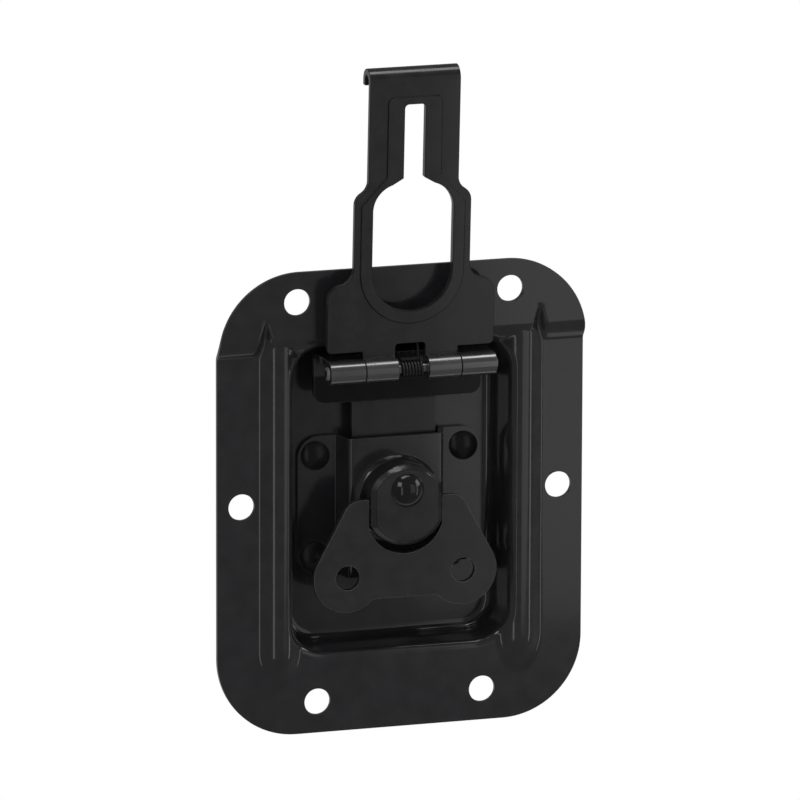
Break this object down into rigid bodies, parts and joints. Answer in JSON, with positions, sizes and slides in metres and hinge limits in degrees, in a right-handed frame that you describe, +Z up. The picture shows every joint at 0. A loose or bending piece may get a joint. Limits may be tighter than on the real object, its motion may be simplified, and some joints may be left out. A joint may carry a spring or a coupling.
{
  "type": "butterfly latch",
  "caption": "Recessed butterfly latch for a case: pressed dish, rotary hub with folding butterfly handle, drawbar and sprung hook plate.",
  "frame": {"origin": "centre between the two middle screw holes, on the plane where the dish's flange bears on the case", "axes": "+Z up along the hook's pull, +Y into the case, +X to the right seen from the front"},
  "size_m": [0.089, 0.0227, 0.159],
  "materials": {
    "black_steel": "semi-gloss black plating",
    "spring_steel": "blackened spring wire"
  },
  "bodies": {
    "case_side": {"dish": "black_steel", "bridge_plate": "black_steel", "bridge_rivets": "black_steel"},
    "rotor": {"rotor_hub": "black_steel", "crank_pin": "black_steel", "crank_washer": "black_steel"},
    "handle": {"butterfly_handle": "black_steel"},
    "slide_bar": {"drawbar": "black_steel", "hinge_pin": "black_steel", "hook_spring": "spring_steel"},
    "hook": {"hook_plate": "black_steel"}
  },
  "joints": [
    {"name": "hub_turn", "type": "hinge", "parent": "case_side", "child": "rotor", "pos_m": [0, 0, -0.001], "axis": [0, 1, 0], "range_deg": [0, 180]},
    {"name": "handle_flip", "type": "hinge", "parent": "rotor", "child": "handle", "pos_m": [0, -0.0043, -0.001], "axis": [-1, 0, 0], "range_deg": [0, 90]},
    {"name": "drawbar_slide", "type": "slide", "parent": "case_side", "child": "slide_bar", "axis": [0, 0, -1], "range_m": [0, 0.0073]},
    {"name": "hook_swing", "type": "hinge", "parent": "slide_bar", "child": "hook", "pos_m": [0, -0.0091, 0.0324], "axis": [1, 0, 0], "range_deg": [-5, 110], "stiffness_Nm_per_rad": 0.02, "deforming": ["hook_spring"]}
  ],
  "couplings": [
    {"joint": "hub_turn", "follows": "drawbar_slide", "rad_per_m": 430.35}
  ]
}
